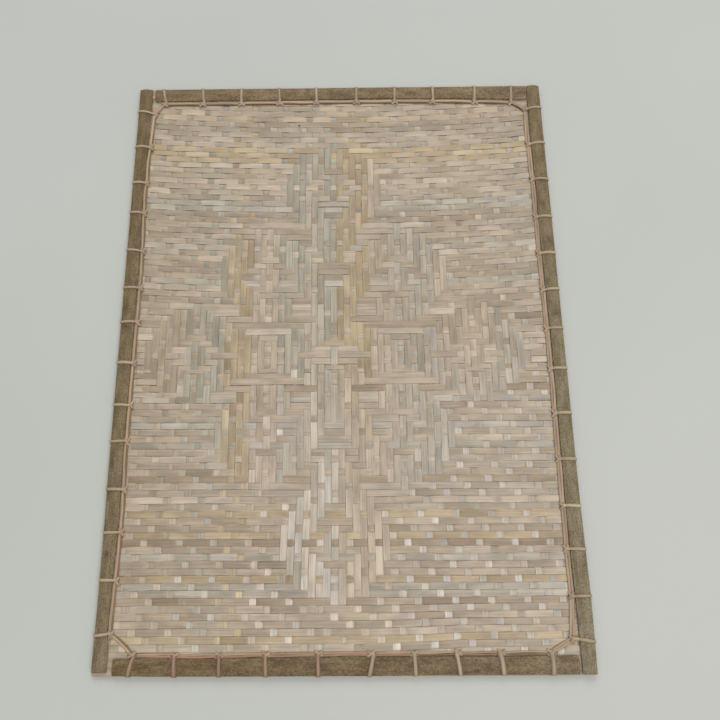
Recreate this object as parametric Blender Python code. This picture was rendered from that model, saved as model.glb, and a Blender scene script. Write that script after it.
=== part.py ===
# Woven bamboo placemat: a flat sheet of flat-woven bamboo, bordered on its upper face by four
# bamboo splits, each lashed down by a flat cane that runs along the split and loops round it.
# Metres, +Z up. The origin is on the surface that the mat lies on, under its middle.
# +Y points to the far short edge, and the lengths below are in millimetres.
import math
from collections import namedtuple

import bmesh
import bpy
from mathutils import Vector

MM = 0.001

# Driving dimensions
MAT_WIDTH = 330.0
MAT_LENGTH = 450.0
SHEET = 1.2
GAP = 0.3
SPLIT_SHOULDER = 1.3
SPLIT_CROWN = 1.2
SPLIT_EASE = 0.3
CANE_WIDTH = 2.2
CANE_THICK = 0.8
RUNNER_WIDTH = 3.0
RUNNER_INSET = 13.2

# The lashing passes under the rim, so the rim is pressed up by the cane and the field sags
# back to the surface inside it. Each row is a ring of the sheet, from the edge inwards.
RIM_LIFT = CANE_THICK + GAP
RIM_WIDTH = 15.0
FIELD_INSET = 33.0
SLOPE_STEPS = 5

# Heights of the layers of the border
RIM_TOP = RIM_LIFT + SHEET
SPLIT_BASE = RIM_TOP + GAP
SHOULDER_TOP = SPLIT_BASE + SPLIT_SHOULDER
CROWN_STEPS = 6

# Where each split begins and ends along its side, from the side's left or far end. The short
# splits butt against the right one, and stand off the left one, which stops short of the near edge.
LONG_WIDTH = 10.5
SHORT_WIDTH = 11.2
FAR_SPACE = 2.2
NEAR_SPACE = 3.2
LEFT_SHORT = 2.0
Split = namedtuple("Split", "start end width")
SPLITS = {
    "far": Split(LONG_WIDTH + FAR_SPACE, MAT_WIDTH - LONG_WIDTH - GAP, SHORT_WIDTH),
    "near": Split(LONG_WIDTH + NEAR_SPACE, MAT_WIDTH - LONG_WIDTH - GAP, SHORT_WIDTH),
    "left": Split(0.0, MAT_LENGTH - LEFT_SHORT, LONG_WIDTH),
    "right": Split(0.0, MAT_LENGTH, LONG_WIDTH),
}

# The stations of the loops, along each side from its left or far end.
LOOPS = {
    "far": (20.5, 52.5, 84, 115.5, 146, 179, 210.5, 242, 276.5, 306.5),
    "near": (25.5, 54, 83.5, 114, 148.5, 183.5, 212, 240.5, 269, 302),
    "left": (22, 54.5, 87, 113.5, 146, 177, 204.5, 236.5, 268.5, 295, 329, 358.5, 390, 424.5),
    "right": (21.5, 54.5, 87, 120, 151, 181, 212, 243, 276.5, 309.5, 342, 371, 401.5, 429),
}

# A short side's runner crosses the corner aslant, narrower, and stops this far from the next
# side's first loop. A long side's runner ends this far past its last loops.
CORNER_WIDTH = 2.2
CORNER_STOP = 2.4
RUNNER_END = 1.5

# Turns sharper than these, in degrees, are shaded sharp, eased, or rounded with two points.
SHADED_SHARP = 35
EASED = 50
ROUNDED = 35

Finish = namedtuple("Finish", "colour roughness")
FINISHES = {
    "woven_bamboo": Finish((0.58, 0.49, 0.36), 0.55),
    "bamboo_skin": Finish((0.23, 0.18, 0.11), 0.50),
    "cane": Finish((0.42, 0.28, 0.18), 0.60),
}


def clear_scene():
    for old in list(bpy.data.objects):
        bpy.data.objects.remove(old)


def material(name):
    colour, roughness = FINISHES[name]
    made = bpy.data.materials.new(name)
    made.use_nodes = True
    shader = made.node_tree.nodes["Principled BSDF"]
    shader.inputs["Base Color"].default_value = (*colour, 1.0)
    shader.inputs["Roughness"].default_value = roughness
    shader.inputs["Metallic"].default_value = 0.0
    return made


def from_side(side, along, inset, height):
    """A point of a side's own frame, in millimetres, as a point of the part in metres."""
    if side == "far":
        x, y = along - MAT_WIDTH / 2, MAT_LENGTH / 2 - inset
    elif side == "near":
        x, y = along - MAT_WIDTH / 2, inset - MAT_LENGTH / 2
    elif side == "left":
        x, y = inset - MAT_WIDTH / 2, MAT_LENGTH / 2 - along
    else:
        x, y = MAT_WIDTH / 2 - inset, MAT_LENGTH / 2 - along
    return Vector((x, y, height)) * MM


def mesh_object(name, points, faces, finish):
    """One named object from points and faces, with its faces turned outwards."""
    mesh = bpy.data.meshes.new(name)
    mesh.from_pydata(points, [], faces)
    shape = bmesh.new()
    shape.from_mesh(mesh)
    bmesh.ops.recalc_face_normals(shape, faces=shape.faces)
    shape.to_mesh(mesh)
    shape.free()
    made = bpy.data.objects.new(name, mesh)
    bpy.context.scene.collection.objects.link(made)
    if finish is not None:
        mesh.materials.append(finish)
    return made


def combine(made, helper, operation):
    """Joins a helper shape to an object, or cuts it out, and keeps the helper as a hidden guide."""
    helper.hide_render = True
    helper.display_type = "WIRE"
    step = made.modifiers.new(operation.title(), "BOOLEAN")
    step.operation = operation
    step.solver = "EXACT"
    step.object = helper


def rim_height(inset):
    """How high the sheet's underside is at a distance from its edge: an S curve down to zero."""
    share = min(max((FIELD_INSET - inset) / (FIELD_INSET - RIM_WIDTH), 0.0), 1.0)
    return RIM_LIFT * share * share * (3.0 - 2.0 * share)


def woven_sheet(finish):
    """The woven sheet: nested rectangles, above and below, joined at the rim and in the field."""
    slope = (FIELD_INSET - RIM_WIDTH) / SLOPE_STEPS
    insets = [0.0] + [RIM_WIDTH + slope * k for k in range(SLOPE_STEPS + 1)]
    points, faces = [], []
    for thickness in (0.0, SHEET):
        for inset in insets:
            height = rim_height(inset) + thickness
            for across, up in ((-1, -1), (1, -1), (1, 1), (-1, 1)):
                x = across * (MAT_WIDTH / 2 - inset)
                y = up * (MAT_LENGTH / 2 - inset)
                points.append(Vector((x, y, height)) * MM)
    upper = 4 * len(insets)
    for first in (0, upper):
        for ring in range(len(insets) - 1):
            for k in range(4):
                a = first + 4 * ring + k
                b = first + 4 * ring + (k + 1) % 4
                faces.append((a, b, b + 4, a + 4))
        field = first + 4 * (len(insets) - 1)
        faces.append(tuple(range(field, field + 4)))
    for k in range(4):
        faces.append((k, (k + 1) % 4, upper + (k + 1) % 4, upper + k))
    return mesh_object("woven_sheet", points, faces, finish)


def crown(width):
    """A split's rounded skin as (inset, height) points, from its outer to its inner shoulder."""
    half = width / 2
    radius = (half * half + SPLIT_CROWN * SPLIT_CROWN) / (2 * SPLIT_CROWN)
    middle = SHOULDER_TOP + SPLIT_CROWN - radius
    swing = math.asin(half / radius)
    points = []
    for k in range(CROWN_STEPS + 1):
        turn = -swing + 2 * swing * k / CROWN_STEPS
        points.append((half + radius * math.sin(turn), middle + radius * math.cos(turn)))
    return points


def bamboo_split(side, finish):
    """A bamboo split: flat below, with its rounded skin above, cut square at both ends."""
    start, end, width = SPLITS[side]
    outline = [(width, SPLIT_BASE), (0.0, SPLIT_BASE)] + crown(width)
    count = len(outline)
    points = [from_side(side, along, *p) for along in (start, end) for p in outline]
    faces = [tuple(range(count)), tuple(range(count, 2 * count))]
    for k in range(count):
        following = (k + 1) % count
        faces.append((k, following, count + following, count + k))
    made = mesh_object("bamboo_split_" + side, points, faces, finish)
    ease = made.modifiers.new("Eased edges", "BEVEL")
    ease.width = SPLIT_EASE * MM
    ease.segments = 1
    ease.limit_method = "ANGLE"
    ease.angle_limit = math.radians(EASED)
    made.data.shade_smooth()
    made.data.set_sharp_from_angle(angle=math.radians(SHADED_SHARP))
    return made


def loop_core(side):
    """What a loop goes round, seen along the border: the rim and the split, down to the runner."""
    inner = RUNNER_INSET - CANE_THICK / 2 - GAP
    around = [(0.0, RIM_LIFT)] + crown(SPLITS[side].width)[::2]
    return around + [(inner, SPLIT_BASE + GAP), (inner, RIM_LIFT)]


def offset_round(core, distance):
    """A convex outline moved outwards, with two points at each sharp corner and one elsewhere."""
    moved = []
    for k, here in enumerate(core):
        before, after = core[k - 1], core[(k + 1) % len(core)]
        normals = []
        for start, end in ((before, here), (here, after)):
            run = Vector((end[0] - start[0], end[1] - start[1])).normalized()
            normals.append(Vector((-run.y, run.x)))
        turn = normals[0].angle(normals[1])
        middle = (normals[0] + normals[1]).normalized()
        if turn > math.radians(ROUNDED):
            pair = [normals[0].slerp(middle, 0.5), middle.slerp(normals[1], 0.5)]
            reach = distance / math.cos(turn / 4)
        else:
            pair = [middle]
            reach = distance / math.cos(turn / 2)
        moved.extend((here[0] + n.x * reach, here[1] + n.y * reach) for n in pair)
    return moved


def loop_shapes(side):
    """Every loop of one side in one guide: flat bands round the split, the rim and the runner."""
    core = loop_core(side)
    inner = offset_round(core, GAP)
    outer = offset_round(core, GAP + CANE_THICK)
    count = len(inner)
    points, faces = [], []
    for station in LOOPS[side]:
        first = len(points)
        for along in (station - CANE_WIDTH / 2, station + CANE_WIDTH / 2):
            points.extend(from_side(side, along, *p) for p in inner + outer)
        for k in range(count):
            n = (k + 1) % count
            a, b = first + k, first + n
            far = 2 * count
            faces.append((a, b, b + count, a + count))
            faces.append((a + far, b + far, b + far + count, a + far + count))
            faces.append((a, b, b + far, a + far))
            faces.append((a + count, b + count, b + count + far, a + count + far))
    return mesh_object("loops_" + side, points, faces, None)


def runner_route(side):
    """The runner's middle line as points on the sheet; the short sides' runners cross the corners."""
    stations = LOOPS[side]
    if side in ("left", "right"):
        ends = (stations[0] - RUNNER_END, stations[-1] + RUNNER_END)
        return [from_side(side, along, RUNNER_INSET, 0.0) for along in ends]
    index = 0 if side == "far" else -1
    route = []
    for station, turn in ((stations[0], "left"), (stations[-1], "right")):
        corner = from_side(side, station, RUNNER_INSET, 0.0)
        goal = from_side(turn, LOOPS[turn][index], RUNNER_INSET, 0.0)
        reach = (goal - corner).length - CORNER_STOP * MM
        tip = corner + (goal - corner).normalized() * reach
        route.extend((tip, corner) if turn == "left" else (corner, tip))
    return route


def runner(side, finish):
    """The flat cane that runs along a split's inner edge, mitred and narrower past its corners."""
    route = runner_route(side)
    tips = (0, len(route) - 1) if len(route) > 2 else ()
    low, high = SPLIT_BASE * MM, (SPLIT_BASE + CANE_THICK) * MM
    points, faces = [], []
    for k, here in enumerate(route):
        runs = [
            (route[n + 1] - route[n]).normalized() for n in (k - 1, k) if 0 <= n < len(route) - 1
        ]
        middle = sum(runs, Vector()).normalized()
        half = (CORNER_WIDTH if k in tips else RUNNER_WIDTH) / 2 * MM
        across = Vector((-middle.y, middle.x, 0.0)) * (half / middle.dot(runs[0]))
        for offset, height in ((across, low), (-across, low), (-across, high), (across, high)):
            points.append(here + offset + Vector((0.0, 0.0, height)))
    for k in range(len(route) - 1):
        for n in range(4):
            a, b = 4 * k + n, 4 * k + (n + 1) % 4
            faces.append((a, b, b + 4, a + 4))
    last = 4 * (len(route) - 1)
    faces.append((0, 1, 2, 3))
    faces.append((last, last + 1, last + 2, last + 3))
    return mesh_object("cane_lashing_" + side, points, faces, finish)


def slot_shapes():
    """The places where the loops pass through the sheet, as one guide of upright bars."""
    across = CANE_THICK / 2 + GAP
    wide = CANE_WIDTH / 2 + GAP
    points, faces = [], []
    for side, stations in LOOPS.items():
        for station in stations:
            first = len(points)
            for height in (RIM_LIFT - SHEET, RIM_TOP + SHEET):
                for u, v in ((-1, -1), (1, -1), (1, 1), (-1, 1)):
                    inset = RUNNER_INSET + v * across
                    points.append(from_side(side, station + u * wide, inset, height))
            faces.append(tuple(first + k for k in range(4)))
            faces.append(tuple(first + 4 + k for k in range(4)))
            for k in range(4):
                n = (k + 1) % 4
                faces.append((first + k, first + n, first + 4 + n, first + 4 + k))
    return mesh_object("lashing_slots", points, faces, None)


def main():
    clear_scene()
    finishes = {name: material(name) for name in FINISHES}

    sheet = woven_sheet(finishes["woven_bamboo"])
    combine(sheet, slot_shapes(), "DIFFERENCE")

    for side in SPLITS:
        bamboo_split(side, finishes["bamboo_skin"])

    for side in LOOPS:
        combine(runner(side, finishes["cane"]), loop_shapes(side), "UNION")


main()
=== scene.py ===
# A woven bamboo placemat, seen from above and a little in front, on a pale grey surface.
# Flat bamboo slivers cross each other in a satin ground with figured lozenges. Four bamboo splits
# lie on the rim, and flat cane lashes them down. Lengths are in millimetres until a mesh is made.
import math

import bmesh
import bpy
import numpy as np
from mathutils import Euler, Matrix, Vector


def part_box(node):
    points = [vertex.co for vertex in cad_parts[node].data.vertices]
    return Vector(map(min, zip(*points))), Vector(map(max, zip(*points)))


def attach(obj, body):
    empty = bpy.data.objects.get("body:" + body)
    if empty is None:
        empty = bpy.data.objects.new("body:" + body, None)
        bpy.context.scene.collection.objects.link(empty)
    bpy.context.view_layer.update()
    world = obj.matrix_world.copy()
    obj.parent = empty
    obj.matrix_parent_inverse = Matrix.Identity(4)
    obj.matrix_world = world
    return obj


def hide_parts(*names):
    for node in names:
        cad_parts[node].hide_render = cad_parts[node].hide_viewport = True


MM = 0.001

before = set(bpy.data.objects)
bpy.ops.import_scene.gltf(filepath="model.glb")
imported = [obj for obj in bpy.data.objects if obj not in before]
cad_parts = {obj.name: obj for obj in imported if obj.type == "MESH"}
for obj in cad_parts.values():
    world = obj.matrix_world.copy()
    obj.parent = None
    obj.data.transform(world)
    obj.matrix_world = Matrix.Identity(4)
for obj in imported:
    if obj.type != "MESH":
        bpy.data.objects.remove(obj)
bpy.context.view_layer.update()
SHEET_LOW, SHEET_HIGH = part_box("woven_sheet")
HALF_WIDTH = SHEET_HIGH.x / MM
HALF_LENGTH = SHEET_HIGH.y / MM
SIDES = ("far", "near", "left", "right")

# The sheet's layers, as the solids have them: the rim is lifted by the cane that passes under it.
SHEET = 1.2
RIM_LIFT = 1.1
RIM_WIDTH = 15.0
FIELD_INSET = 33.0
RIM_TOP = RIM_LIFT + SHEET
SPLIT_BASE = RIM_TOP + 0.3
SHOULDER_TOP = SPLIT_BASE + 1.3
CROWN = 1.2

# Slivers: how far apart they lie, how wide and thick they are, and how far one passes over another.
WARP_PITCH = 4.93
WEFT_PITCH = 4.83
WARP_ZERO = 159.9 - HALF_WIDTH
WEFT_ZERO = HALF_LENGTH - 230.7
SLIVER_THICK = 0.4
SLIVER_GAP = 0.04
OVER = 0.27
DIVE = 1.15
ARCH = 0.09
FIRST_WARP, LAST_WARP = -32, 33
FIRST_WEFT, LAST_WEFT = -47, 46

WORMHOLE = ((132 - HALF_WIDTH) * MM, (HALF_LENGTH - 34) * MM, 1.1 * MM)

# One row more is packed in just below the middle, so rows crowd there: their places in pitches.
CROWDED_ROWS = {3: 2.5, 4: 3.25, 5: 4.15, 6: 5.3, 7: 6.2}


def linear(code):
    """An sRGB hex colour as a linear colour with its alpha."""
    parts = [int(code[k : k + 2], 16) / 255 for k in (1, 3, 5)]
    curve = [p / 12.92 if p <= 0.04045 else ((p + 0.055) / 1.055) ** 2.4 for p in parts]
    return (*curve, 1.0)


def add(tree, kind, inputs=None, links=None, stops=(), **settings):
    """Adds a node with its settings, its sockets' values, what feeds them and its colour stops."""
    made = tree.nodes.new(kind)
    for name, value in settings.items():
        setattr(made, name, value)
    for name, value in (inputs or {}).items():
        made.inputs[name].default_value = value
    for name, source in (links or {}).items():
        tree.links.new(source, made.inputs[name])
    if stops:
        points = made.color_ramp.elements
        while len(points) < len(stops):
            points.new(0.5)
        for point, (place, code) in zip(points, stops):
            point.position = place
            point.color = linear(code)
    return made


def new_material(name):
    """A named material with an empty node tree."""
    made = bpy.data.materials.new(name)
    made.use_nodes = True
    made.node_tree.nodes.clear()
    return made, made.node_tree


def sliver_bamboo(name, fibre_tangent, sheen_slope):
    """Shaved bamboo slivers: pale and satiny, with fine fibres, brown or grey stains and a painted
    sheen.
    """
    made, tree = new_material(name)
    grain = add(tree, "ShaderNodeAttribute", attribute_name="grain")
    own = add(tree, "ShaderNodeAttribute", attribute_name="own_colour")
    place = add(tree, "ShaderNodeTexCoord")
    # Vascular bundles are about 0.4 mm apart in bamboo, and run on for several centimetres.
    fibre_scale = add(
        tree, "ShaderNodeVectorMath", {1: (1 / 45, 1 / 0.9, 1.0)}, {0: grain.outputs["Vector"]},
        operation="MULTIPLY",
    )
    fibres = add(
        tree, "ShaderNodeTexNoise", {"Scale": 1.0, "Detail": 3.0, "Roughness": 0.6},
        {"Vector": fibre_scale.outputs["Vector"]},
    )
    # Stains and thinner shaving change the tone every few centimetres along a sliver.
    stain_scale = add(
        tree, "ShaderNodeVectorMath", {1: (1 / 22, 1 / 7, 1.0)}, {0: grain.outputs["Vector"]},
        operation="MULTIPLY",
    )
    stains = add(
        tree, "ShaderNodeTexNoise", {"Scale": 1.0, "Detail": 2.0, "Roughness": 0.55},
        {"Vector": stain_scale.outputs["Vector"]},
    )
    fibre_tone = add(
        tree, "ShaderNodeMapRange",
        {"From Min": 0.38, "From Max": 0.62, "To Min": 0.88, "To Max": 1.11},
        {"Value": fibres.outputs["Fac"]},
    )
    stain_tone = add(
        tree, "ShaderNodeMapRange",
        {"From Min": 0.38, "From Max": 0.62, "To Min": 0.88, "To Max": 1.12},
        {"Value": stains.outputs["Fac"]},
    )
    tone = add(
        tree, "ShaderNodeMath", operation="MULTIPLY",
        links={0: fibre_tone.outputs["Result"], 1: stain_tone.outputs["Result"]},
    )
    # Painted sheen: the two families of slivers are painted lighter towards opposite ends of the
    # mat, a little more than the light alone gives, because their fibres lie across each other.
    split = add(tree, "ShaderNodeSeparateXYZ", links={0: place.outputs["Object"]})
    along = add(
        tree, "ShaderNodeMapRange",
        {"From Min": -0.22, "From Max": 0.22, "To Min": 1 - sheen_slope, "To Max": 1 + sheen_slope},
        {"Value": split.outputs["Y"]},
    )
    shade = add(
        tree, "ShaderNodeMath", operation="MULTIPLY",
        links={0: tone.outputs["Value"], 1: along.outputs["Result"]},
    )
    # One small wormhole, 1.3 mm across, painted rather than cut: its middle is painted near black,
    # painted shade in the hole, fading out through a brown rim.
    from_hole = add(
        tree, "ShaderNodeVectorMath", {1: WORMHOLE}, {0: place.outputs["Object"]},
        operation="DISTANCE",
    )
    painted_hole_shade = add(
        tree, "ShaderNodeMapRange",
        {"From Min": 0.0005, "From Max": 0.0014, "To Min": 0.12, "To Max": 1.0},
        {"Value": from_hole.outputs["Value"]},
    )
    holed = add(
        tree, "ShaderNodeMath", operation="MULTIPLY",
        links={0: shade.outputs["Value"], 1: painted_hole_shade.outputs["Result"]},
    )
    base = add(
        tree, "ShaderNodeVectorMath", operation="SCALE",
        links={0: own.outputs["Color"], "Scale": holed.outputs["Value"]},
    )
    rough = add(
        tree, "ShaderNodeMapRange",
        {"From Min": 0.38, "From Max": 0.62, "To Min": 0.38, "To Max": 0.58},
        {"Value": fibres.outputs["Fac"]},
    )
    bump = add(
        tree, "ShaderNodeBump", {"Strength": 0.35, "Distance": 0.00006},
        {"Height": fibres.outputs["Fac"]},
    )
    tangent = add(
        tree, "ShaderNodeCombineXYZ", {"X": fibre_tangent[0], "Y": fibre_tangent[1], "Z": 0.0}
    )
    shader = add(
        tree, "ShaderNodeBsdfPrincipled", {"IOR": 1.5, "Anisotropic": 0.6},
        {
            "Base Color": base.outputs["Vector"],
            "Roughness": rough.outputs["Result"],
            "Normal": bump.outputs["Normal"],
            "Tangent": tangent.outputs["Vector"],
        },
    )
    add(tree, "ShaderNodeOutputMaterial", links={"Surface": shader.outputs["BSDF"]})
    return made


def weathered_bamboo_skin(name, stops):
    """The outer skin of split bamboo: olive to brown, finely ribbed, with dark mould mottles."""
    made, tree = new_material(name)
    grain = add(tree, "ShaderNodeAttribute", attribute_name="grain")
    fibre_scale = add(
        tree, "ShaderNodeVectorMath", {1: (1 / 30, 1 / 0.8, 1.0)}, {0: grain.outputs["Vector"]},
        operation="MULTIPLY",
    )
    fibres = add(
        tree, "ShaderNodeTexNoise", {"Scale": 1.0, "Detail": 4.0, "Roughness": 0.65},
        {"Vector": fibre_scale.outputs["Vector"]},
    )
    cloud_scale = add(
        tree, "ShaderNodeVectorMath", {1: (1 / 14, 1 / 5, 1.0)}, {0: grain.outputs["Vector"]},
        operation="MULTIPLY",
    )
    clouds = add(
        tree, "ShaderNodeTexNoise", {"Scale": 1.0, "Detail": 3.0, "Roughness": 0.6},
        {"Vector": cloud_scale.outputs["Vector"]},
    )
    speck_scale = add(
        tree, "ShaderNodeVectorMath", {1: (1 / 1.3, 1 / 0.9, 1.0)}, {0: grain.outputs["Vector"]},
        operation="MULTIPLY",
    )
    specks = add(
        tree, "ShaderNodeTexNoise", {"Scale": 1.0, "Detail": 2.0, "Roughness": 0.7},
        {"Vector": speck_scale.outputs["Vector"]},
    )
    mixed = add(
        tree, "ShaderNodeMath", {1: 0.35}, {0: clouds.outputs["Fac"]}, operation="MULTIPLY"
    )
    finer = add(
        tree, "ShaderNodeMath", {1: 0.5}, {0: specks.outputs["Fac"], 2: mixed.outputs["Value"]},
        operation="MULTIPLY_ADD",
    )
    finest = add(
        tree, "ShaderNodeMath", {1: 0.15}, {0: fibres.outputs["Fac"], 2: finer.outputs["Value"]},
        operation="MULTIPLY_ADD",
    )
    skin = add(
        tree, "ShaderNodeValToRGB", links={"Fac": finest.outputs["Value"]}, stops=stops
    )
    own = add(tree, "ShaderNodeAttribute", attribute_name="own_colour")
    tinted = add(
        tree, "ShaderNodeVectorMath", operation="MULTIPLY",
        links={0: skin.outputs["Color"], 1: own.outputs["Color"]},
    )
    bump = add(
        tree, "ShaderNodeBump", {"Strength": 0.5, "Distance": 0.00012},
        {"Height": fibres.outputs["Fac"]},
    )
    shader = add(
        tree, "ShaderNodeBsdfPrincipled",
        {"IOR": 1.5, "Roughness": 0.62, "Specular IOR Level": 0.25},
        {"Base Color": tinted.outputs["Vector"], "Normal": bump.outputs["Normal"]},
    )
    add(tree, "ShaderNodeOutputMaterial", links={"Surface": shader.outputs["BSDF"]})
    return made


def split_cane(name):
    """Flat cane split from rattan: satiny, finely ribbed, darker along its thin edges with rind and
    painted shade.
    """
    made, tree = new_material(name)
    grain = add(tree, "ShaderNodeAttribute", attribute_name="grain")
    own = add(tree, "ShaderNodeAttribute", attribute_name="own_colour")
    fibre_scale = add(
        tree, "ShaderNodeVectorMath", {1: (1 / 12, 1 / 0.5, 1.0)}, {0: grain.outputs["Vector"]},
        operation="MULTIPLY",
    )
    fibres = add(
        tree, "ShaderNodeTexNoise", {"Scale": 1.0, "Detail": 3.0, "Roughness": 0.6},
        {"Vector": fibre_scale.outputs["Vector"]},
    )
    fibre_tone = add(
        tree, "ShaderNodeMapRange",
        {"From Min": 0.38, "From Max": 0.62, "To Min": 0.82, "To Max": 1.15},
        {"Value": fibres.outputs["Fac"]},
    )
    # Darker along its edges, 0.6 mm out: partly brown rind that stays where the middle wears off,
    # partly painted shade for the thin shadow lines beside the strands.
    parts = add(tree, "ShaderNodeSeparateXYZ", links={0: grain.outputs["Vector"]})
    outward = add(tree, "ShaderNodeMath", links={0: parts.outputs["Y"]}, operation="ABSOLUTE")
    edge_rind_and_shade = add(
        tree, "ShaderNodeMapRange",
        {"From Min": 0.55, "From Max": 1.05, "To Min": 1.0, "To Max": 0.62},
        {"Value": outward.outputs["Value"]},
    )
    tone = add(
        tree, "ShaderNodeMath", operation="MULTIPLY",
        links={0: fibre_tone.outputs["Result"], 1: edge_rind_and_shade.outputs["Result"]},
    )
    base = add(
        tree, "ShaderNodeVectorMath", operation="SCALE",
        links={0: own.outputs["Color"], "Scale": tone.outputs["Value"]},
    )
    bump = add(
        tree, "ShaderNodeBump", {"Strength": 0.4, "Distance": 0.00008},
        {"Height": fibres.outputs["Fac"]},
    )
    shader = add(
        tree, "ShaderNodeBsdfPrincipled", {"IOR": 1.5, "Roughness": 0.5, "Specular IOR Level": 0.3},
        {"Base Color": base.outputs["Vector"], "Normal": bump.outputs["Normal"]},
    )
    add(tree, "ShaderNodeOutputMaterial", links={"Surface": shader.outputs["BSDF"]})
    return made


def matt_surface():
    """A plain pale grey painted surface under the mat."""
    made, tree = new_material("Pale grey matt paint")
    place = add(tree, "ShaderNodeTexCoord")
    cloud = add(tree, "ShaderNodeTexNoise", {"Scale": 3.0}, {"Vector": place.outputs["Object"]})
    colour = add(
        tree, "ShaderNodeValToRGB", links={"Fac": cloud.outputs["Fac"]},
        stops=((0.3, "#BCBEB8"), (0.7, "#C0C2BC")),
    )
    shader = add(
        tree, "ShaderNodeBsdfPrincipled", {"Roughness": 0.8},
        {"Base Color": colour.outputs["Color"]},
    )
    add(tree, "ShaderNodeOutputMaterial", links={"Surface": shader.outputs["BSDF"]})
    return made


# Faces that meet at more than this angle, in degrees, show an edge.
EDGE_ANGLE = 38


def mesh_piece(name, points, faces, material, colours, grain):
    """A named piece from points in millimetres, with its colours and places along the fibres."""
    mesh = bpy.data.meshes.new(name)
    mesh.from_pydata((np.asarray(points) * MM).tolist(), [], faces)
    shape = bmesh.new()
    shape.from_mesh(mesh)
    bmesh.ops.recalc_face_normals(shape, faces=shape.faces)
    shape.to_mesh(mesh)
    shape.free()
    held = mesh.attributes.new("grain", "FLOAT_VECTOR", "POINT")
    held.data.foreach_set("vector", np.asarray(grain, np.float32).ravel())
    held = mesh.attributes.new("own_colour", "FLOAT_COLOR", "POINT")
    held.data.foreach_set("color", np.asarray(colours, np.float32).ravel())
    mesh.shade_smooth()
    mesh.set_sharp_from_angle(angle=math.radians(EDGE_ANGLE))
    mesh.materials.append(material)
    made = bpy.data.objects.new(name, mesh)
    bpy.context.scene.collection.objects.link(made)
    return made


def ribbon_faces(start, rings, count):
    """The faces of a closed ribbon whose rings of count points begin at the point start."""
    faces = [tuple(start + k for k in range(count))]
    for ring in range(rings - 1):
        for k in range(count):
            a = start + ring * count + k
            b = start + ring * count + (k + 1) % count
            faces.append((a, b, b + count, a + count))
    faces.append(tuple(start + (rings - 1) * count + k for k in range(count)))
    return faces


def rim_height(x, y):
    """How high the sheet's underside is at a place on the mat."""
    inset = np.minimum(HALF_WIDTH - np.abs(x), HALF_LENGTH - np.abs(y))
    share = np.clip((FIELD_INSET - inset) / (FIELD_INSET - RIM_WIDTH), 0.0, 1.0)
    return RIM_LIFT * share * share * (3.0 - 2.0 * share)


def sag(x, y):
    """How far the rows curve towards the far end, at both sides above the middle and near right."""
    above = 3.5 * (x / 130) ** 2 * np.clip((y + 5) / 60, 0.0, 1.0)
    near_right = 0.07 * np.clip(-165 - y, 0.0, 60.0) * np.clip((x - 20) / 60, 0.0, 1.0)
    held = np.clip((HALF_LENGTH - np.abs(y)) / 14, 0.0, 1.0)
    return (above + near_right) * held


def fan(x, y):
    """How far the warps spread sideways from the middle towards the near end."""
    nearness = np.clip((-105 - y) / 60, 0.0, 1.0)
    right = 2.0 * np.sin(math.pi * np.clip(x, 0, 150) / 150)
    left = -1.6 * np.sin(math.pi * np.clip(-x, 0, HALF_WIDTH) / 90)
    held = np.clip((HALF_WIDTH - np.abs(x)) / 10, 0.0, 1.0)
    return nearness * np.where(x > 0, right, left) * held


def row_place(row):
    """A weft's place in pitches below the middle row, with the crowded rows below it."""
    if row in CROWDED_ROWS:
        return CROWDED_ROWS[row]
    if row < 0:
        return row + 0.2 * min(1.0, -row / 3)
    return float(row if row < 3 else row - 1)


# The figure, charted as a weaver's draft: "|" is a warp on top, "-" a weft on top. A chart
# is one quarter of its figure, line by line from its middle row and outwards from its middle warp,
# and is mirrored both ways. The ground weave begins where a line ends.
LOZENGE = (
    "-||--|-|",
    "||--||||",
    "|--||-||",
    "--|||||",
    "-|||-||",
    "||-|||",
    "-||||",
    "|||",
    "|",
)
FIGURE = (
    "|-----||||-||||--",
    "|---||||-|||-||||",
    "--||||-|||-|||-||",
    "-|||-||||---||||-",
    "||-||||-------|||",
    "-||||-----------|",
    "|||-----|||||----",
    "|-||---|||-||||--",
    "||||---|-|||-||--",
    "||-|---|||-|||-|-",
    "|||||---|---|||||",
    "|||-||----|--||-|",
    "--||||---|||--||||",
    "--||-|--||-||--|-|",
    "---||||--|||--||||",
    "---||-||--|--||-||",
    "||--|||||---|||||",
    "-|--||-|||-|||-||",
    "|||--|||-|||-|||",
    "|-||--||||-||||",
    "||||----|||||",
    "||-|------|",
    "-||||-----",
    "|||-||",
    "--||||",
    "--||-||",
    "---||||",
)
MOTIFS = ((0, 0, FIGURE), (0, 29, LOZENGE), (21, 0, LOZENGE))


def warp_on_top(warp, row):
    """Whether the warp passes over the weft where they cross."""
    across, down = abs(warp), abs(row)
    for middle, middle_row, chart in MOTIFS:
        step, line = abs(across - middle), abs(down - middle_row)
        if line < len(chart) and step < len(chart[line]):
            return chart[line][step] == "|"
    if warp < -2:
        return (warp - 2 * row) % 5 == 0
    return (warp - 2 * row) % 5 == (4 if row <= 0 else 2)


rng = np.random.default_rng(11)

SLIVER_TONES = {
    "pale": "#A59680",
    "tan": "#AC9C86",
    "green grey": "#A49A87",
    "silver": "#AEA28F",
    "cool tan": "#AA9F8E",
    "pink grey": "#AE9E89",
    "ochre": "#AB987A",
    "dull": "#A1917C",
    "brown": "#A08E77",
    "dark": "#9A8770",
    "bright": "#B2A38E",
}
# How much slivers differ: in lightness, in warmth, in how far they are turned about their length
# and shaved where they lie on top, in their width and, in millimetres, in where they end.
LIGHT_SPREAD = 0.03
WARM_SPREAD = 0.012
TURN_SPREAD = 0.055
SHAVE_SPREAD = 0.09
WIDTH_SPREAD = 0.05
END_SPREAD = 0.6
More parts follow.
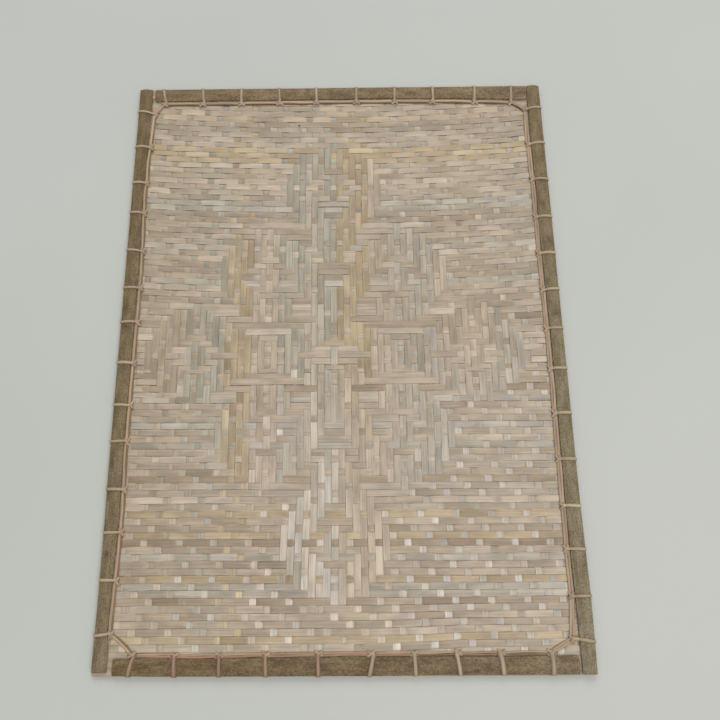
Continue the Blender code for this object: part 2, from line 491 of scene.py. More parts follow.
# The warps' tones as (first warp, last warp, tone at the far end, tone at the near end).
WARP_BANDS = (
    (-40, -23, "pale", "pale"),
    (-22, -17, "green grey", "green grey"),
    (-16, -13, "ochre", "ochre"),
    (-12, -9, "pink grey", "pink grey"),
    (-8, 0, "green grey", "silver"),
    (1, 5, "ochre", "tan"),
    (6, 9, "pink grey", "pink grey"),
    (10, 15, "cool tan", "cool tan"),
    (16, 24, "tan", "cool tan"),
    (25, 40, "cool tan", "cool tan"),
)
# All slivers are whiter near the near end, and duller and yellower along the left side.
WHITER = np.array([1.0, 1.003, 1.03, 1.0])
DULLER = np.array([0.97, 0.965, 0.945, 1.0])
# The rows that aren't tan, counted from the middle row towards the near end.
ROW_TONES = {
    "dull": (-41, -40, -24, -23, -14, -9, -5, 6, 27, 32),
    "brown": (20, 37),
    "dark": (29,),
    "bright": (-33, -30, -17, -11, -7, -4, -3, -1, 1, 17, 21, 23),
    "ochre": (-36, -35, -34, 25, 28, 34, 42),
    "cool tan": (-26, -25, -18, -12, 8, 12, 15, 31, 35, 36),
}


def row_tone(row):
    """A weft's tone."""
    for tone, rows in ROW_TONES.items():
        if row in rows:
            return tone
    return "tan"


def sliver_colour(tone):
    """A sliver's own colour: a named tone, a little lighter or darker and warmer or cooler."""
    base = np.array(linear(SLIVER_TONES[tone])[:3])
    light = 1 + LIGHT_SPREAD * rng.normal()
    warm = WARM_SPREAD * rng.normal()
    return np.array([*(base * light * (1 + warm, 1, 1 - warm)), 1.0])


def warp_tones(warp):
    """A warp's tones at its far and near ends."""
    for first, last, far_tone, near_tone in WARP_BANDS:
        if first <= warp <= last:
            return far_tone, near_tone
    return "tan", "tan"


def tint_by_place(x, y, change):
    """How a sliver's colour is changed at places on the mat; change is its own at the near end."""
    nearness = np.clip((10 - y) / 60, 0.0, 1.0)[:, None]
    leftness = np.clip((-85 - x) / 50, 0.0, 1.0)[:, None]
    return (1 + nearness * (change * WHITER - 1)) * (1 + leftness * (DULLER - 1))


# Half the length of a sliver's flat top where it passes over a single other one.
SQUARE_HALF = 1.25


def strip_route(middles, over):
    """A sliver's route: places along it, its height there, and the stretches it lies on there."""
    places, heights, stretches = [], [], []
    count = len(middles)
    first = 0
    stretch = 0
    edges = [(middles[k] + middles[k + 1]) / 2 for k in range(count - 1)]
    while first < count:
        last = first
        while last + 1 < count and over[last + 1] == over[first]:
            last += 1
        sign = 1 if over[first] else -1
        length = last - first + 1
        if first > 0:
            places.append(edges[first - 1])
            heights.append(0.0)
            stretches.append((stretch - 1, stretch))
        for k in range(first, last + 1):
            rise = math.sin(math.pi * (k - first + 0.5) / length) * ARCH * min(length - 1, 3)
            lifted = sign * OVER + (rise if sign > 0 else -rise * 0.3)
            shoulder = sign * (OVER + rise * 0.6)
            if length == 1:
                places.extend((middles[k] - SQUARE_HALF, middles[k], middles[k] + SQUARE_HALF))
                heights.extend((lifted - sign * 0.05, lifted + sign * 0.04, lifted - sign * 0.05))
                stretches.extend([(stretch, stretch)] * 3)
                continue
            if k == first and first > 0:
                places.append(edges[first - 1] + DIVE)
                heights.append(shoulder)
                stretches.append((stretch, stretch))
            places.append(middles[k])
            heights.append(lifted)
            stretches.append((stretch, stretch))
            if k == last and last < count - 1:
                places.append(edges[last] - DIVE)
                heights.append(shoulder)
                stretches.append((stretch, stretch))
        first = last + 1
        stretch += 1
    return np.array(places), np.array(heights), np.array(stretches)


# A sliver's section as (share of its half width, share of its half thickness), from its left edge.
SLIVER_SECTION = np.array(
    [(-1.0, 0.4), (-0.96, 1.0), (0.96, 1.0), (1.0, 0.4), (0.97, -1.0), (-0.97, -1.0)]
)
# Freshly shaved stretches are paler and whiter, old surface is browner: powers of the tone. The
# warps' painted glint and sheen go through these powers too.
SHAVING = np.array([[0.9, 1.0, 1.2, 0.0]])
# A warp that stands up alone is painted paler by up to this share near the near end: a painted
# glint. The longer stretches get a painted sheen there too, most along a line left of the middle:
# its place and its reach in mm.
SQUARE_GLINT = 0.36
SHINE = 0.16
SHINE_LINE = -28
SHINE_REACH = 70
# The warp that shows between two splits at the far left stands out past the rim by this much.
LONG_WARP_LINE = -153
LONG_WARP_PAST = 1.4


def painted_warp_glint(route, over, crossings, axis):
    """A warp's painted glint: how much paler it is on top, more so alone and near the near end."""
    stretches = route[2]
    paler = np.ones(stretches.max() + 1)
    first = 0
    for stretch in range(len(paler)):
        last = first
        while last + 1 < len(over) and over[last + 1] == over[first]:
            last += 1
        nearness = np.clip((crossings[first] + 120) / 260, 0.0, 1.0)
        if over[first] and last == first:
            paler[stretch] = 1.02 + nearness * (0.02 + SQUARE_GLINT * rng.uniform())
        elif over[first]:
            away = (axis - SHINE_LINE) / SHINE_REACH
            paler[stretch] = 1.0 + SHINE * nearness**1.5 * math.exp(-(away**2))
        first = last + 1
    return paler


def slivers(name, family, material):
    """One family of slivers as closed ribbons: "warp" runs along the mat, "weft" across it."""
    warps = range(FIRST_WARP, LAST_WARP + 1)
    rows = range(FIRST_WEFT, LAST_WEFT + 1)
    warp_x = np.array([WARP_ZERO + WARP_PITCH * w for w in warps])
    row_y = np.array([WEFT_ZERO - WEFT_PITCH * row_place(r) for r in rows])
    points, faces, colours, grains = [], [], [], []
    start = 0
    strips = warps if family == "warp" else rows
    for order, strip in enumerate(strips):
        if family == "warp":
            over = [warp_on_top(strip, row) for row in rows]
            route = strip_route(-row_y, over)
            reach = HALF_LENGTH
            axis = warp_x[order]
            room = WARP_PITCH
            far_tone, near_tone = warp_tones(strip)
            tone = sliver_colour(far_tone)
            change = np.divide(linear(SLIVER_TONES[near_tone]), linear(SLIVER_TONES[far_tone]))
        else:
            over = [not warp_on_top(warp, strip) for warp in warps]
            route = strip_route(warp_x, over)
            reach = HALF_WIDTH
            axis = row_y[order]
            near = row_y[min(order + 1, len(row_y) - 1)]
            far = row_y[max(order - 1, 0)]
            room = min(WEFT_PITCH, (far - near) / 2) if 0 < order < len(row_y) - 1 else WEFT_PITCH
            tone = sliver_colour(row_tone(strip))
            change = np.ones(4)
        places, heights, stretches = route
        ends = [-reach + abs(rng.normal()) * END_SPREAD, reach - abs(rng.normal()) * END_SPREAD]
        if family == "warp" and abs(axis - LONG_WARP_LINE) < 3:
            ends[0] = -reach - LONG_WARP_PAST
        places = np.concatenate([[ends[0]], places, [ends[1]]])
        heights = np.concatenate([[heights[0]], heights, [heights[-1]]])
        stretches = np.concatenate([stretches[:1], stretches, stretches[-1:]])
        # Every stretch on top is turned a little its own way, and was shaved to its own tone.
        turns = rng.normal(0, TURN_SPREAD, stretches.max() + 1)
        shaved_and_glint = rng.normal(1, SHAVE_SPREAD, stretches.max() + 1)
        turn = turns[stretches].mean(1)
        # A warp's shaving tone also carries its painted glint and sheen.
        if family == "warp":
            shaved_and_glint = shaved_and_glint * painted_warp_glint(route, over, -row_y, axis)
        shave_and_glint = shaved_and_glint[stretches].mean(1)
        half = (room - SLIVER_GAP) / 2 + rng.normal() * WIDTH_SPREAD
        waves = rng.uniform(0, 2 * math.pi, 3)
        # Neighbours sway together by up to 0.35 mm, and each a little its own way.
        shared = 0.2 * np.sin(places / 47 + axis / 61) + 0.15 * np.sin(places / 23 - axis / 37 + 2)
        own_sway = 0.07 * np.sin(places / 34 + waves[0]) + 0.05 * np.sin(places / 13 + waves[1])
        sway = shared + own_sway
        halves = half * (1 + 0.02 * np.sin(places / 21 + waves[2]))
        across = SLIVER_SECTION[None, :, 0] * halves[:, None]
        up = SLIVER_SECTION[None, :, 1] * SLIVER_THICK / 2 + heights[:, None]
        up = up + across * turn[:, None]
        run = np.repeat(places[:, None], len(SLIVER_SECTION), 1)
        side = axis + sway[:, None] + across
        x, y = (side, -run) if family == "warp" else (run, side)
        x, y = x + fan(x, y), y + sag(x, y)
        z = np.maximum(rim_height(x, y) + SHEET / 2 + up, 0.0)
        points.append(np.stack([x, y, z], -1).reshape(-1, 3))
        seed = np.full_like(run, rng.uniform(0, 900))
        grains.append(np.stack([run, across, seed], -1).reshape(-1, 3))
        middle = np.full_like(places, axis)
        x, y = (middle, -places) if family == "warp" else (places, middle)
        toned = tone[None, :] * shave_and_glint[:, None] ** SHAVING * tint_by_place(x, y, change)
        colours.append(np.repeat(toned, len(SLIVER_SECTION), 0))
        faces.extend(ribbon_faces(start, len(places), len(SLIVER_SECTION)))
        start += len(places) * len(SLIVER_SECTION)
    points, colours, grains = (np.concatenate(held) for held in (points, colours, grains))
    return mesh_piece(name, points, faces, material, colours, grains)


def from_side(side, along, inset, height):
    """A point of a side's own frame as a point of the mat."""
    if side == "far":
        return Vector((along - HALF_WIDTH, HALF_LENGTH - inset, height))
    if side == "near":
        return Vector((along - HALF_WIDTH, inset - HALF_LENGTH, height))
    if side == "left":
        return Vector((inset - HALF_WIDTH, HALF_LENGTH - along, height))
    return Vector((HALF_WIDTH - inset, HALF_LENGTH - along, height))


def split_extent(side):
    """Where a split starts and ends along its side, and its width, from its solid's box."""
    low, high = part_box("bamboo_split_" + side)
    low, high = low / MM, high / MM
    if side in ("far", "near"):
        return low.x + HALF_WIDTH, high.x + HALF_WIDTH, high.y - low.y
    return HALF_LENGTH - high.y, HALF_LENGTH - low.y, high.x - low.x


# How far a split's outer edge bows out past the mat's edge, or in, as (station, mm).
RIM_BOWS = {
    "far": ((0, 0.0), (330, 0.0)),
    "near": ((20, 0.0), (40, 0.5), (200, 0.5), (230, 0.0)),
    "left": ((0, 0.3), (30, 0.0), (320, 0.0), (345, -0.4), (410, -0.4), (435, 0.0)),
    "right": ((340, 0.0), (370, 0.5), (400, 1.0), (425, 0.7), (450, 0.3)),
}
# Split bamboo varies in width. Each split's inner edge as (station, mm from the mat's edge).
SPLIT_EDGES = {
    "far": (
        (20, 11.1), (84, 11.1), (115, 10.7), (179, 10.3), (210, 10.4), (242, 10.9), (306, 12.2),
    ),
    "near": ((25, 10.0), (54, 10.1), (83, 10.5), (148, 10.7), (212, 11.0), (302, 11.3)),
    "left": (
        (22, 10.2), (54, 9.6), (87, 8.7), (113, 8.5), (146, 9.6), (177, 10.0), (268, 9.4),
        (295, 9.0), (329, 9.8), (358, 10.0), (390, 9.2), (424, 8.3), (434, 9.8),
    ),
    "right": (
        (21, 10.3), (54, 10.4), (87, 9.7), (151, 10.0), (212, 9.3), (276, 9.4), (342, 9.7),
        (371, 10.0), (401, 9.3), (429, 9.2),
    ),
}
# How far the middle of the run lies from the split's inner edge, and how much further at a loop.
RUN_AWAY = {"far": 2.7, "near": 1.7, "left": 2.0, "right": 2.1}
RUN_SHIFTS = {
    "far": ((276, 0.0), (306, 0.4)),
    "near": ((25, 0.8), (54, 0.1), (83, -0.4), (148, 0.2), (183, 0.0)),
    "left": ((22, 0.7), (54, 0.1), (390, 0.0), (424, -0.2)),
    "right": ((401, 0.1), (429, 2.4)),
}


# A split's lower edges are eased by EASE, its ends are rounded by END_ROUND, and its mesh has a
# ring every SPLIT_STEP mm and SKIN_POINTS points across the skin.
EASE = 0.35
END_ROUND = 0.6
SPLIT_STEP = 1.25
SKIN_POINTS = 9


def between(pairs, station):
    """A value at a station along a side, from (station, value) pairs."""
    return float(np.interp(station, [at for at, value in pairs], [value for at, value in pairs]))


def run_inset(side, station):
    """How far the middle of the run is from the mat's edge."""
    return between(SPLIT_EDGES[side], station) + RUN_AWAY[side] + between(RUN_SHIFTS[side], station)


def skin_arc(width):
    """The arc of a split's rounded skin: its radius, its middle's height and half its angle."""
    half = width / 2
    radius = (half * half + CROWN * CROWN) / (2 * CROWN)
    return radius, SHOULDER_TOP + CROWN - radius, math.asin(half / radius)


def split_outline(width):
    """A split's section as (inset, height): flat below, eased shoulders and a rounded skin."""
    radius, middle, swing = skin_arc(width)
    outline = [(width - EASE, SPLIT_BASE), (EASE, SPLIT_BASE), (0.0, SPLIT_BASE + EASE)]
    for k in range(SKIN_POINTS):
        turn = -swing + 2 * swing * k / (SKIN_POINTS - 1)
        outline.append((width / 2 + radius * math.sin(turn), middle + radius * math.cos(turn)))
    outline.append((width, SPLIT_BASE + EASE))
    return np.array(outline)


# The skin's tint along each side as (station, red, green, blue), and its stains as (station, inset,
# half length, half width, strength).
SKIN_TINTS = {
    "far": ((0, 1.05, 1.05, 1.04), (330, 1.05, 1.07, 1.08)),
    "near": ((0, 0.83, 0.8, 0.72), (165, 0.86, 0.84, 0.8), (330, 0.98, 1.0, 1.05)),
    "left": (
        (0, 0.81, 0.72, 0.59), (200, 0.9, 0.83, 0.76), (300, 0.95, 0.9, 0.86),
        (450, 0.99, 0.95, 0.93),
    ),
    "right": (
        (0, 0.97, 0.89, 0.81), (110, 0.98, 0.93, 0.86), (230, 1.08, 1.1, 1.12),
        (330, 1.06, 1.08, 1.12), (450, 1.12, 1.16, 1.28),
    ),
}
SKIN_STAINS = {
    "far": (
        (139, 3.5, 1.6, 4.0, 0.24), (142, 9.0, 1.0, 1.8, 0.2), (158, 5.0, 2.6, 5.0, 0.22),
        (192, 6.5, 4.0, 2.4, 0.16), (298, 5.5, 6.0, 4.0, 0.15), (88, 9.5, 1.4, 0.9, 0.3),
    ),
    "near": (
        (102, 2.8, 1.6, 1.2, 0.3), (126.5, 2.3, 1.8, 1.2, 0.24), (107, 2.0, 3.0, 1.4, 0.14),
        (251, 2.6, 2.6, 1.4, 0.24), (274, 9.3, 3.0, 1.6, 0.24), (193, 9.5, 6.0, 1.6, 0.15),
        (60, 6.0, 9.0, 2.0, 0.08), (150, 5.0, 10.0, 2.4, 0.08), (232, 8.0, 6.0, 2.0, 0.1),
    ),
    "left": (
        (373, 4.2, 1.6, 1.6, 0.3), (331, 2.0, 5.0, 1.4, 0.22), (321, 2.5, 1.6, 1.6, 0.16),
        (311, 2.8, 2.4, 1.6, 0.18), (208, 3.5, 2.0, 3.0, 0.26), (193, 3.0, 4.0, 2.0, 0.12),
        (88, 8.0, 9.0, 1.2, 0.16), (54, 7.5, 9.0, 1.2, 0.14), (240, 6.0, 2.0, 3.0, 0.14),
    ),
    "right": (
        (201, 4.6, 3.0, 2.4, 0.22), (381, 0.4, 2.2, 1.2, 0.3), (174, 8.2, 3.4, 1.2, 0.28),
        (141, 3.8, 3.6, 2.4, 0.24), (109, 5.8, 2.2, 1.8, 0.2), (220, 7.5, 4.0, 1.4, 0.12),
    ),
}


def split_tint(side, station, inset):
    """How the skin's colour is changed at a place: the side's own tint, darkened by its stains."""
    tint = [between([(row[0], row[k]) for row in SKIN_TINTS[side]], station) for k in (1, 2, 3)]
    light = 1.0
    for at, middle, long, wide, strength in SKIN_STAINS[side]:
        away = ((station - at) / long) ** 2 + ((inset - middle) / wide) ** 2
        light *= 1 - strength * 2.2 * math.exp(-away) / (1 + 1.2 * strength)
    return (tint[0] * light, tint[1] * light, tint[2] * light, 1.0)


def bamboo_split(side, material):
    """A split of bamboo on the rim, a little uneven in width, with softly rounded ends."""
    start, end, width = split_extent(side)
    stations = [0.0, 0.12, 0.35, END_ROUND]
    middle = np.arange(END_ROUND + SPLIT_STEP, end - start - END_ROUND, SPLIT_STEP)
    stations = np.concatenate([stations, middle, [end - start - s for s in reversed(stations)]])
    outline = split_outline(width)
    waves = rng.uniform(0, 2 * math.pi, 3)
    seed = rng.uniform(0, 900)
    points, grains, colours = [], [], []
    for station in stations:
        from_end = min(station, end - start - station)
        drawn = 0.0
        if from_end < END_ROUND:
            drawn = END_ROUND - math.sqrt(END_ROUND**2 - (END_ROUND - from_end) ** 2)
        own_width = between(SPLIT_EDGES[side], start + station)
        bow = between(RIM_BOWS[side], start + station)
        half = (own_width + bow) / 2 - drawn * 0.8
        wander = 0.12 * math.sin(station / 31 + waves[0]) + 0.08 * math.sin(station / 11 + waves[1])
        for inset, height in outline:
            share = (inset - width / 2) / (width / 2)
            lowered = (height - SPLIT_BASE) * (1 - 0.12 * drawn)
            bulge = 0.08 * math.sin(station / 17 + waves[2]) * (height - SPLIT_BASE) / CROWN
            moved = (own_width - bow) / 2 + share * half + (wander if inset > width / 2 else 0.0)
            points.append(from_side(side, start + station, moved, SPLIT_BASE + lowered + bulge))
            grains.append((station, inset, seed))
            colours.append(split_tint(side, start + station, moved))
    faces = ribbon_faces(0, len(stations), len(outline))
    return mesh_piece("split_" + side, points, faces, material, colours, grains)


# The stations of the loops, along each side from its left or far end.
LOOPS = {
    "far": (20.5, 52.5, 84, 115.5, 146, 179, 210.5, 242, 276.5, 306.5),
    "near": (25.5, 54, 83.5, 114, 148.5, 183.5, 212, 240.5, 269, 302),
    "left": (22, 54.5, 87, 113.5, 146, 177, 204.5, 236.5, 268.5, 295, 329, 358.5, 390, 424.5),
    "right": (21.5, 54.5, 87, 120, 151, 181, 212, 243, 276.5, 309.5, 342, 371, 401.5, 429),
}
LOOP_WIDTH = {"far": 2.1, "near": 2.6, "left": 1.9, "right": 2.1}
# How far a loop leans along its side between the rim and the run; the others stand straight.
LOOP_LEAN = {
    ("near", 25.5): 2.6, ("near", 114): -0.8, ("near", 183.5): 2.6, ("near", 240.5): -1.4,
    ("near", 269): -1.1, ("far", 20.5): 2.0, ("far", 52.5): 1.0, ("far", 115.5): 0.8,
    ("far", 276.5): -0.8, ("left", 22): 1.4, ("left", 146): 1.0, ("left", 204.5): -0.9,
    ("left", 424.5): -1.6, ("left", 295): -1.0, ("right", 21.5): 1.4, ("right", 429): -2.0,
    ("right", 54.5): 1.2, ("right", 309.5): -0.6, ("right", 181): 0.8,
}
WIDE_LOOPS = {("near", 54): 1.2, ("near", 302): 1.15, ("left", 236.5): 1.1, ("far", 20.5): 1.15}
PINK_LOOPS = (("far", 179), ("far", 306.5), ("left", 204.5), ("left", 177), ("right", 87))
CANE_THICK = 0.7
# A loop lies this far off the split and the rim.
LOOP_CLEAR = 0.12
CANE_FLAT = SPLIT_BASE + CANE_THICK / 2
CANE_TONES = {
    "tan": "#A79176",
    "straw": "#B1997B",
    "sand": "#AA9378",
    "peach": "#AF937A",
    "umber": "#6A4A2E",
    "pale": "#AC997D",
    "pink": "#A78D77",
    "rosy": "#997C64",
    "brown": "#836A4F",
    "red": "#9E7A60",
    "rust": "#7C523B",
    "dark": "#4C331D",
}
# The two strands of each side's run: the outer one lies by the split, the inner one on the weave.
# The thin dark inner strands of the far and left runs are painted shade: dark cane put along the
# run's inner edge, where its shadow line falls.
STRANDS = {
    "far": (("straw", 2.6, -0.75), ("umber", 0.8, 1.0)),
    "near": (("red", 1.7, -0.4), ("tan", 1.1, 0.8)),
    "left": (("sand", 2.2, -0.7), ("brown", 1.0, 0.85)),
    "right": (("pink", 2.0, -0.9), ("tan", 1.8, 0.85)),
}
# The spans, counted from the left or far end, where the outer strand is redder.
PEACH_SPANS = {"far": (2, 4, 8), "left": (7, 11)}


# A band's section as (share of its width, share of its thickness), from its left edge.
CANE_SECTION = (
    (-0.5, 0.0), (-0.34, 0.42), (0.0, 0.5), (0.34, 0.42), (0.5, 0.0), (0.38, -0.5), (-0.38, -0.5),
)


class Cane:
    """Gathers bands of flat cane into one piece."""

    def __init__(self):
        self.points, self.faces, self.grains, self.colours = [], [], [], []

    def band(self, route, up, width, tone, thick=CANE_THICK):
        """A flat band along a route with its face towards up: crowned, with thin edges."""
        seed = rng.uniform(0, 900)
        light = 1 + 0.08 * rng.normal()
        colour = [c * light for c in linear(CANE_TONES[tone])[:3]]
        offset = len(self.points)
        run = 0.0
        for k, here in enumerate(route):
            before, after = route[max(k - 1, 0)], route[min(k + 1, len(route) - 1)]
            run += (here - before).length
            side = (after - before).cross(up[k]).normalized()
            outward = side.cross(after - before).normalized()
            wide = width[k] if hasattr(width, "__len__") else width
            for u, v in CANE_SECTION:
                self.points.append(here + side * (u * wide) + outward * (v * thick))
                self.grains.append((run, u * wide, seed))
                self.colours.append((*colour, 1.0))
        self.faces.extend(ribbon_faces(offset, len(route), len(CANE_SECTION)))


def loop_outline(side, station):
    """The loop's path round the rim and the split, as (inset, height, outward) in order."""
    width = between(SPLIT_EDGES[side], station)
    run = run_inset(side, station)
    half = width / 2
    radius, middle, swing = skin_arc(width)
    clear = LOOP_CLEAR + CANE_THICK / 2
    foot = max(run - 0.3, width + 1.3)
    path = []
    for k in range(4):
        path.append((12.9 - 12.2 * k / 3, RIM_LIFT - clear, (0.0, -1.0)))
    path.append((-clear * 0.72, RIM_LIFT - clear * 0.55, (-0.7, -0.7)))
    path.append((-clear, RIM_LIFT + 0.5, (-1.0, 0.0)))
    path.append((-clear, SHOULDER_TOP - 0.6, (-1.0, 0.0)))
    path.append((-clear * 0.8, SHOULDER_TOP + 0.1, (-0.8, 0.6)))
    for k in range(7):
        turn = -swing + 2 * swing * (k + 0.3) / 6.6
        out = (math.sin(turn), math.cos(turn))
        path.append((half + (radius + clear) * out[0], middle + (radius + clear) * out[1], out))
    path.append((width + clear * 0.7, SHOULDER_TOP + 0.05, (0.75, 0.65)))
    path.append((width + 0.9, SPLIT_BASE + 1.35, (0.5, 0.85)))
    path.append((foot, SPLIT_BASE + 1.25, (0.35, 0.93)))
    path.append((foot + 1.2, SPLIT_BASE + 0.8, (0.9, 0.4)))
    path.append((foot + 1.4, RIM_TOP - 0.4, (1.0, 0.0)))
    path.append((foot + 0.9, RIM_LIFT, (1.0, -0.2)))
    return path


UPWARD = Vector((0, 0, 1))


def cane_loop(cane, side, station, slant):
    """One loop: up the outside, over the split and down through the weave, a little aslant."""
    outline = loop_outline(side, station)
    width = LOOP_WIDTH[side] * rng.uniform(0.88, 1.12) * WIDE_LOOPS.get((side, station), 1.0)
    bow = between(RIM_BOWS[side], station)
    route, up, widths = [], [], []
    for inset, height, out in outline:
        inset -= bow * min(max(1 - inset / 10, 0.0), 1.0)
        shift = slant * (min(max(inset / 12.5, 0.0), 1.0) - 0.5)
        route.append(from_side(side, station + shift, inset, height))
        tip = from_side(side, station + shift, inset + out[0], height + out[1])
        up.append(tip - route[-1])
        spread = 1.12 if inset < 6 else 1.0 + 0.28 * min(max(inset - 10.0, 0.0), 1.5)
        widths.append(width * spread)
    tone = "pale"
    if side == "near" and station < 170:
        tone = "rosy"
    if (side, station) in PINK_LOOPS:
        tone = "pink"
    cane.band(route, up, widths, tone)


def cane_knot(cane, side, station, lean):
    """The hitch at a loop's foot: two short turns of cane that cross over the run."""
    run = run_inset(side, station)
    for turn, (back, ahead, rise) in enumerate(((-1.5, 1.9, 0.95), (2.0, -0.9, 0.75))):
        back, ahead = run + back, run + ahead
        length = 2.5 + rng.uniform(-0.3, 0.3)
        route = []
        for share in (-1.0, -0.6, 0.0, 0.6, 1.0):
            inset = back + (ahead - back) * (share + 1) / 2
            height = CANE_FLAT + rise - 0.85 * abs(share) ** 2.2
            route.append(from_side(side, station + lean + length * share, inset, height))
        tone = "pink" if turn == 0 else "tan"
        cane.band(route, [UPWARD] * len(route), 1.8, tone, 0.6)
    # A short turn of older cane is tucked in beside most knots.
    if side == "near" or rng.uniform() < 0.2:
        return
    lean, tone = {"far": (-1.5, "dark"), "left": (1.8, "rust"), "right": (-1.5, "brown")}[side]
    tuck = [
        from_side(side, station + lean * step, run + 1.5 + 0.1 * step, CANE_FLAT - 0.06 * step)
        for step in (0.3, 1.1, 2.0)
    ]
    cane.band(tuck, [UPWARD] * 3, (1.2, 1.3, 0.6), tone, 0.5)


def cane_lashing(side, material):
    """The lashing of one side: flat cane in a double strand, looped round the split and hitched."""
    cane = Cane()
    stations = LOOPS[side]
    for station in stations:
        slant = LOOP_LEAN.get((side, station), 0.0)
        cane_loop(cane, side, station, slant + rng.uniform(-0.4, 0.4))
        cane_knot(cane, side, station, rng.uniform(-0.4, 0.4))
    last_span = len(stations) - 2
    for span, (first, last) in enumerate(zip(stations[:-1], stations[1:])):
        reach = rng.uniform(0.1, 0.6)
        bow = rng.uniform(-0.3, 0.3)
        for strand, (tone, width, shift) in enumerate(STRANDS[side]):
            if side == "near" and strand == 0 and first > 200:
                tone, width = "brown", 1.2
            if strand == 0 and span in PEACH_SPANS.get(side, ()):
                tone = "peach"
            begin = first - (1.4 if span else 0.0)
            finish = last + (1.4 if span < last_span else 0.0)
            route, widths = [], []
            for k in range(11):
                share = k / 10
                drift = reach * (share - 0.5) + bow * math.sin(math.pi * share)
                own = 0.12 * math.sin(7 * share + strand * 2 + span)
                pinch = 1 - 0.35 * abs(2 * share - 1) ** 6
                sink = 0.35 * max(0.0, share - 0.8) / 0.2 + 0.1 * strand
                along = begin + (finish - begin) * share
                inset = run_inset(side, along) + shift * pinch + drift + own
                route.append(from_side(side, along, inset, CANE_FLAT - sink))
                widths.append(width * (0.75 + 0.25 * pinch))
            cane.band(route, [UPWARD] * len(route), widths, tone)
    for route_start, turn_point, route_end, tone, width in CORNER_RUNS.get(side, ()):
        route = []
        for k in range(9):
            share = k / 8
            before, between_them, after = (1 - share) ** 2, 2 * share * (1 - share), share**2
            x, y = before * route_start + between_them * turn_point + after * route_end
            lifted = 0.25 * math.sin(math.pi * share)
            route.append(Vector((x, y, CANE_FLAT + lifted)))
        cane.band(route, [UPWARD] * len(route), width, tone)
    return mesh_piece(
        "lashing_" + side, cane.points, cane.faces, material, cane.colours, cane.grains
    )


def corner_run(start_side, start, end_side, end, bulge, strands):
    """Strands that cross a corner aslant, from one side's run to the other's, bowed by bulge."""
    a = from_side(start_side, start[0], start[1], 0)
    b = from_side(end_side, end[0], end[1], 0)
    chord = b - a
    normal = Vector((-chord.y, chord.x, 0)).normalized()
    made = []
    for tone, width, shift, spread in strands:
        offset = normal * shift
        turn = (a + b) / 2 + normal * (shift + spread + bulge)
        made.append(((a + offset).xy, turn.xy, (b + offset).xy, tone, width))
    return made


CORNER_RUNS = {
    "far": (
        corner_run(
            "far", (20.5, 14.4), "left", (27.5, 13.2), -2.6,
            (("tan", 1.3, -0.5, 0.0), ("red", 1.2, 0.5, 0.2)),
        )
        + corner_run(
            "far", (306.5, 15.3), "right", (23.0, 12.8), 1.6,
            (("pink", 2.6, 0.0, 0.0), ("umber", 0.8, -1.4, 0.0)),
        )
    ),
    "near": (
        corner_run(
            "near", (25.5, 12.9), "left", (424.5, 10.6), -1.6,
            (("tan", 1.7, 0.3, 0.2), ("brown", 0.8, -0.8, -0.5)),
        )
        + corner_run(
            "near", (302.0, 13.6), "right", (428.5, 14.2), -0.2,
            (("tan", 1.8, -0.6, 0.0), ("tan", 1.3, 0.9, 0.0)),
        )
    ),
}


# The camera's place, turn in degrees and lens, found from the four corners of the mat.
CAMERA_PLACE = (0.00074, -0.1615, 0.51048)
CAMERA_TURN = (16.581, 0.588, -0.263)
LENS = 35.88
SENSOR = 36.0
SHIFT_X = 0.0333


def make_camera():
    """The one camera."""
    data = bpy.data.cameras.new("Camera")
    data.lens = LENS
    data.sensor_width = SENSOR
    data.sensor_fit = "HORIZONTAL"
    data.shift_x = SHIFT_X
    made = bpy.data.objects.new("Camera", data)
    made.location = CAMERA_PLACE
    made.rotation_euler = Euler([math.radians(a) for a in CAMERA_TURN], "XYZ")
    bpy.context.scene.collection.objects.link(made)
    bpy.context.scene.camera = made


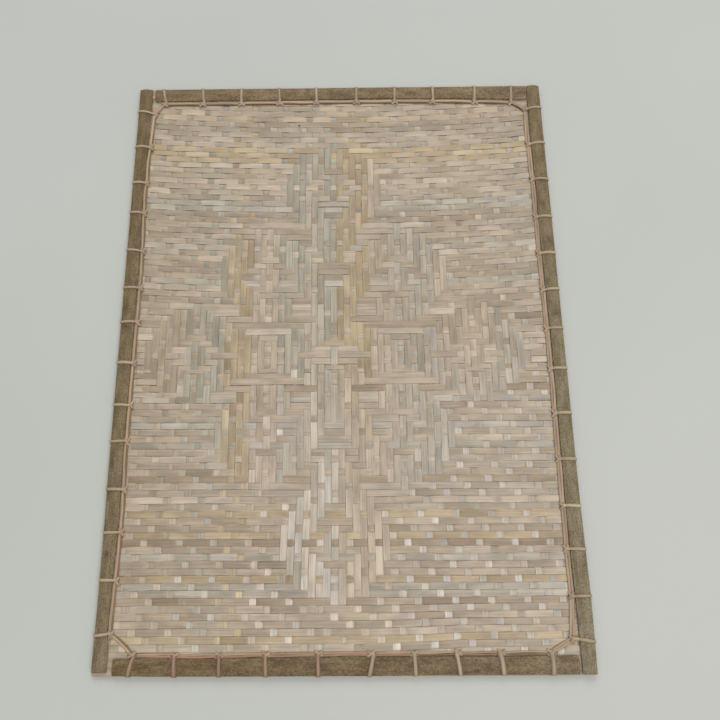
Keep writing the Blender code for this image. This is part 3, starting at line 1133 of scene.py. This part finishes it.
def area_light(name, place, target, size, power, tint):
    """A soft rectangular light that faces a target."""
    data = bpy.data.lights.new(name, "AREA")
    data.shape = "RECTANGLE"
    data.size, data.size_y = size
    data.energy = power
    data.color = linear(tint)[:3]
    made = bpy.data.objects.new(name, data)
    made.location = place
    made.rotation_euler = (Vector(target) - Vector(place)).to_track_quat("-Z", "Y").to_euler()
    bpy.context.scene.collection.objects.link(made)


def make_studio():
    """A plain pale floor, soft daylight from the far side and above, and a pale surround."""
    floor = bpy.data.meshes.new("floor")
    reach = 3.0
    corners = [(-reach, -reach, 0), (reach, -reach, 0), (reach, reach, 0), (-reach, reach, 0)]
    floor.from_pydata(corners, [], [(0, 1, 2, 3)])
    floor.materials.append(matt_surface())
    made = bpy.data.objects.new("floor", floor)
    bpy.context.scene.collection.objects.link(made)
    area_light("far window", (-0.1, 2.4, 2.2), (0, 0, 0), (2.4, 1.8), 42, "#F7F9FF")
    area_light("overhead", (0.9, -0.9, 2.0), (0, 0, 0), (1.8, 1.4), 27, "#FFFAF2")
    world = bpy.data.worlds.new("Pale room")
    world.use_nodes = True
    sky = world.node_tree.nodes["Background"]
    sky.inputs["Color"].default_value = linear("#E9ECEE")
    sky.inputs["Strength"].default_value = 0.56
    bpy.context.scene.world = world
    bpy.context.scene.view_settings.view_transform = "Standard"


make_camera()
make_studio()

# The last number is each family's painted sheen along the mat, as a share of its tone.
weft_bamboo = sliver_bamboo("Shaved bamboo wefts", (0.0, 1.0), 0.03)
warp_bamboo = sliver_bamboo("Shaved bamboo warps", (1.0, 0.0), -0.05)
long_skin = weathered_bamboo_skin(
    "Weathered bamboo skin, long sides",
    [(0.42, "#66583F"), (0.48, "#75674D"), (0.53, "#7E7157"), (0.59, "#8B7F68")],
)
short_skin = weathered_bamboo_skin(
    "Weathered bamboo skin, short sides",
    [(0.42, "#624F37"), (0.48, "#746146"), (0.53, "#7F6D51"), (0.59, "#8C7B60")],
)
cane = split_cane("Split cane")

wefts = slivers("wefts", "weft", weft_bamboo)
warps = slivers("warps", "warp", warp_bamboo)
for sliver_piece in (wefts, warps):
    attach(sliver_piece, "root")
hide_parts("woven_sheet")

for side in SIDES:
    split = bamboo_split(side, long_skin if side in ("left", "right") else short_skin)
    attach(split, "root")
    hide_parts("bamboo_split_" + side)
    lashing = cane_lashing(side, cane)
    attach(lashing, "root")
    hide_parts("cane_lashing_" + side)
